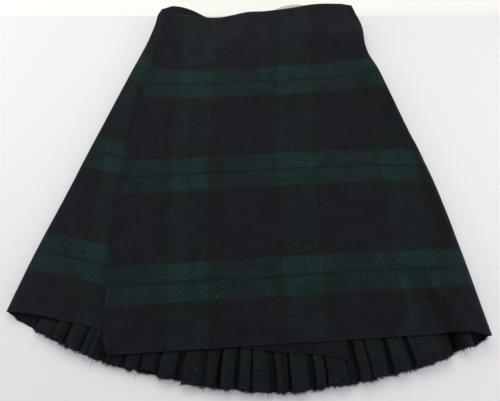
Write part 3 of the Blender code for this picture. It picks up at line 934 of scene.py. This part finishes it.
def tartan_finish(name, back):
    """The check, yarn by yarn. The back's twill leans the other way, it has painted shade all over and more
    in its folds, and its hem is raw; the aprons are lighter along the waist, part wear and part painted
    sheen."""
    made, shader, start = new_finish(name, {"Specular IOR Level": 0.10, "Sheen Weight": 0.043,
                                            "Sheen Roughness": 0.3, "Sheen Tint": (0.90, 0.88, 1.0, 1)})
    u, v, weave = start.cloth_map("weave")
    from_edge, from_waist, _ = start.cloth_map("rims")
    hollow, _, _ = start.cloth_map("painted_shading_map")
    diagonal = ((u + (v if back else 0 - v)) / (4 * YARN)) % 1
    twill = diagonal.between(0.12, 0.62, 0.22)
    flecks = weave.noise(900, 3, 0.7)
    heather = weave.noise(230, 2)
    pills = weave.noise(430, 1).over(0.735, 0.05) * weave.noise(24, 2).over(0.5, 0.2)

    shade = 0.72 + flecks * 0.56 + unevenness(weave, heather)
    # painted shade: the back darker all over, plus the painted shade and highlights of the shading map
    shade = shade * ((BACK_PAINTED_SHADE if back else 1.0) - hollow * PAINTED_SHADE_DARKNESS)
    # lighter along every edge and, on the aprons, along the waist: part wear, part painted sheen
    wear_and_edge_sheen = (1 - (from_edge + (flecks - 0.5) * 0.0016).over(0.0009, 0.0010)) * 0.10
    if back:
        raw = 1 - (from_edge + (heather - 0.5) * 0.003).over(0.0035, 0.0025)
        shade = shade * (1 + raw * (flecks - 0.56) * 2.6)
    else:
        wear_and_edge_sheen = wear_and_edge_sheen + (1 - (from_waist + (heather - 0.5) * 0.004).over(0.0022, 0.0020)) * 0.4
    colour = weave.vector("SCALE", yarn_colour(weave, u, v, twill), shade)
    (wear_and_edge_sheen + pills * 0.9).tint(colour, WEAR_AND_SHEEN).feed(shader, "Base Color")
    (0.55 + flecks * 0.14).feed(shader, "Roughness")
    yarns = (u * (math.tau / YARN)).wave() * (1 - twill) + (v * (math.tau / YARN)).wave() * twill
    relief = yarns * 0.25 + (diagonal * math.tau).wave() * 0.5 + flecks * 1.2
    relief.bump(0.35, 0.0004).feed(shader, "Normal")
    return made


def mottled_finish(name, low, high, scale, detail, fixed):
    """Two shades of one colour in small patches."""
    made, shader, start = new_finish(name, fixed)
    place_on = start.node("TexCoord", output=3)
    mottle = place_on.node("TexNoise", {}, {"Vector": place_on, "Scale": scale, "Detail": detail})
    mottle.mix((*low, 1), (*high, 1)).feed(shader, "Base Color")
    return made, shader, place_on


def cotton_finish():
    made, shader, place_on = mottled_finish("cream_cotton", (0.42, 0.35, 0.26), (0.70, 0.63, 0.52),
                                            220, 4, {"Roughness": 0.85})
    threads = place_on.node("TexWave", {}, {"Vector": place_on, "Scale": 900})
    threads.bump(0.3, 0.0003).feed(shader, "Normal")
    return made


def plain_finish(name, colour):
    low, high = [c * 0.8 for c in colour], [min(1, c * 1.2) for c in colour]
    return mottled_finish(name, low, high, 400, 2, {"Roughness": 0.9, "Specular IOR Level": 0.2})[0]


TARTAN = tartan_finish("tartan_face", False)
TARTAN_BACK = tartan_finish("tartan_inside", True)
COTTON = cotton_finish()
FRAYED = plain_finish("frayed_yarn", (0.0060, 0.0060, 0.0115))
FRAYED_PALE = plain_finish("frayed_pale_yarn", (0.06, 0.06, 0.085))
LINT = plain_finish("white_lint", (0.55, 0.55, 0.54))


# ---- the kilt's pieces ----
# Places of the rows from the hem up. The back's are close together where its hem shows. Where the aprons
# hide it they are far apart, and closer near the waist, where the sides bend in.
APRON_ROWS = join([np.linspace(0, 24, 9), np.linspace(28, 540, 129), np.linspace(543, FRONT_LENGTH, 8)])
HIDDEN_ROWS = (78, 96, 130, 175, 230, 295, 360, 425, 470, 500, 524, 545, FRONT_LENGTH)
BACK_ROWS = join([np.linspace(0, 66, 22), HIDDEN_ROWS])
LINING_ROWS = np.linspace(0, 1, 24)
BACK_SECTIONS = [pleated_back_row(along) for along in BACK_ROWS]

over_apron = cloth_piece("over_apron_cloth", over_apron_row, APRON_ROWS, CLOTH, TARTAN)
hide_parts("over_apron")
under_apron = cloth_piece("under_apron_cloth", under_apron_row, APRON_ROWS, CLOTH, TARTAN)
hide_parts("under_apron")
pleated_back = cloth_piece("pleated_back_cloth", pleated_back_row, BACK_ROWS, CLOTH, TARTAN_BACK)
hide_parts("pleated_back")
waist_lining = cloth_piece("waist_lining_cloth", lining_row, LINING_ROWS, LINING, COTTON)
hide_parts("waist_lining")


# ---- frayed hem and loose threads ----
HEM_FAN = 0.0012       # radians a millimetre
TUFTS = np.linspace(-345, 320, 170)
TUFT_LENGTHS = (0.25, 1.75)


def hem_points(row, count, chance):
    """Places picked at random along one row of cloth, in proportion to its length."""
    x, y, z = row[:3]
    far = length_along(x, y, z)
    at = np.sort(chance.uniform(0, far[-1], count))
    return np.stack([np.interp(at, far, axis) for axis in (x, y, z)], axis=-1)


def out_from_hem(x):
    """The way the hem's threads point, in plan: straight out at the middle, and fanning out to the sides."""
    return -math.pi / 2 + (x - PLAN_CENTRE[0]) * HEM_FAN


def frayed(name, row, count, seed, length, spread, curl, thickness, inward, finish, points):
    """Threads along a raw hem: longer and shorter in tufts, rooted up to inward mm above the edge. Spread
    and curl are in radians, and points is how many each thread has."""
    chance = np.random.default_rng(seed)
    roots = hem_points(row, count, chance)
    tufts = np.interp(roots[:, 0], TUFTS, chance.uniform(*TUFT_LENGTHS, len(TUFTS)))
    long = chance.uniform(*length, count) * tufts
    back_in = chance.uniform(0, inward, count)
    heading = out_from_hem(roots[:, 0])
    roots = roots + np.stack([-np.cos(heading) * back_in, -np.sin(heading) * back_in,
                              np.full(count, CLOTH / 2 + 0.1)], axis=-1)
    paths = bent_threads(roots, heading + chance.normal(0, spread, count), long,
                         chance.normal(0, curl, count), chance.normal(-0.05, 0.15, count), points)
    thread_piece(name, paths, chance.uniform(*thickness, count), finish)


def below_roll(row, columns):
    """The part of an apron's hem row that lies under its side fold, from the last of the rounding on."""
    return [axis[columns + len(ROLL_DEGREES) - ROLL_END:] for axis in row[:3]]


BACK_HEM = pleated_back_row(0.0)
LEFT_STRIP_HEM = below_roll(under_apron_row(0.0), UNDER_COLUMNS)
RIGHT_STRIP_HEM = below_roll(over_apron_row(0.0), OVER_COLUMNS)
FRINGES = table(
    "name row count seed length spread curl thickness inward finish points",
    ("hem_fringe", BACK_HEM, 6200, 11, (2, 4.6), 0.6, 1.1, (0.45, 0.85), 1.2, FRAYED, 4),
    ("hem_pale_ends", BACK_HEM, 1500, 12, (0.8, 2.8), 1.1, 1.6, (0.3, 0.6), 3.2, FRAYED_PALE, 4),
    ("hem_loose_yarns", BACK_HEM, 130, 13, (5, 11), 0.8, 2.2, (0.35, 0.6), 1, FRAYED, 9),
    ("left_side_fringe", LEFT_STRIP_HEM, 330, 14, (1.2, 3.4), 0.6, 1.1, (0.4, 0.8), 1.5, FRAYED, 4),
    ("right_side_fringe", RIGHT_STRIP_HEM, 260, 15, (1.2, 3.6), 0.6, 1.1, (0.4, 0.8), 1.5, FRAYED, 4),
)
for fringe in FRINGES:
    frayed(*fringe)


HEIGHT_ON_PLEATS = 11  # of the one bit of lint that lies on the back
# White lint caught on the cloth: where it lies, its size and the way it points.
BITS = table(
    "x y size turn",
    (-33, 501, 4, 70), (67, 489, 3, 20), (100, 459, 3, 110), (96, 252, 3, 60), (88, 163, 3.5, 80),
    (-45, 92, 6, 50), (-21, 87, 4, 70), (-191, 58, 4, 85), (-131, 61, 2.5, 30), (-195, 46, 4, 60),
    (-71, -3, 4, 95), (-51, 63, 3, 15), (68, 63, 3, 120), (200, 77, 3, 50),
)


def lint():
    chance = np.random.default_rng(21)
    roots, turns, lengths = [], [], []
    for bit in BITS:
        for _ in range(2):
            off = chance.normal(0, bit.size / 4, 2)
            x, y = bit.x + off[0], bit.y + off[1]
            height = HEIGHT_ON_PLEATS if bit.y < 0 else over_face(np.array([x]), np.array([y]))[0]
            roots.append((x, y, height + CLOTH / 2 + 0.35))
            turns.append(math.radians(bit.turn) + chance.normal(0, 0.5))
            lengths.append(bit.size * chance.uniform(0.25, 0.55))
    count = len(roots)
    paths = bent_threads(np.array(roots), np.array(turns), np.array(lengths), chance.normal(0, 1.4, count),
                         np.zeros(count), 6)
    thread_piece("lint", paths, chance.uniform(0.12, 0.22, count), LINT)


lint()


# ---- table, light and camera, in metres ----
WARM_WHITE = (1, 0.995, 0.88)
WHITE = (1, 1, 1)
SOFTBOXES = table(
    "name at aim size power colour",
    ("top_softbox", (0, 0.5, 1), (0, 0.2, 0), (1.2, 0.8), 4.4, WARM_WHITE),
    ("far_softbox", (-0.16, 0.95, 0.95), (0, 0.1, 0), (1.3, 0.7), 3.6, WARM_WHITE),
    ("near_softbox", (0.1, -2, 0.95), (0, -0.1, 0), (1.6, 0.9), 8, WHITE),
    ("right_softbox", (1.05, -0.1, 0.4), (0.25, -0.1, 0), (0.5, 0.4), 3, WHITE),
    ("left_softbox", (-1.05, 0.1, 0.4), (-0.3, -0.1, 0), (0.5, 0.4), 2.9, WHITE),
)
CAMERA_HEIGHT = 0.626
CAMERA_TILT = 21
LENS = 31.32
STAGE_HALF = 2.5
TABLE_EDGE = (604 - PLAN_CENTRE[1]) * MM


def flat_stage(name, near, far, height, colour):
    """A plain flat surface under or beyond the kilt."""
    corners = ((-STAGE_HALF, near), (STAGE_HALF, near), (STAGE_HALF, far), (-STAGE_HALF, far))
    mesh = bpy.data.meshes.new(name)
    mesh.from_pydata([(*corner, height) for corner in corners], [], [(0, 1, 2, 3)])
    surface = put(name, mesh)
    finish = new_finish(name + "_white", {"Base Color": (*colour, 1), "Roughness": 0.7,
                                          "Specular IOR Level": 0.1})[0]
    mesh.materials.append(finish)


def area_light(name, at, aim, size, power, colour):
    data = bpy.data.lights.new(name, "AREA")
    data.shape = "RECTANGLE"
    data.size, data.size_y = size
    data.energy = power
    data.color = colour
    light = put(name, data)
    light.location = at
    x, y, z = np.subtract(aim, at)
    pitch, turn = math.atan2(math.hypot(x, y), -z), math.atan2(-x, y)
    light.rotation_euler = (pitch, 0, turn)


def studio():
    world = bpy.data.worlds.new("soft_white")
    world.use_nodes = True
    background = world.node_tree.nodes["Background"]
    background.inputs["Color"].default_value = (0.99, 0.99, 1, 1)
    background.inputs["Strength"].default_value = 0.45
    bpy.context.scene.world = world
    for softbox in SOFTBOXES:
        area_light(*softbox)
    view = bpy.data.cameras.new("camera")
    view.lens = LENS
    view.sensor_width = 36
    camera = put("camera", view)
    camera.location = (-PLAN_CENTRE[0] * MM, -PLAN_CENTRE[1] * MM, CAMERA_HEIGHT)
    camera.rotation_euler = (math.radians(CAMERA_TILT), 0, 0)
    bpy.context.scene.camera = camera
    bpy.context.scene.view_settings.view_transform = "Standard"


flat_stage("table", -STAGE_HALF, TABLE_EDGE, 0, (0.80, 0.796, 0.845))
flat_stage("board", TABLE_EDGE, 3, -0.03, (0.94, 0.93, 0.92))
studio()
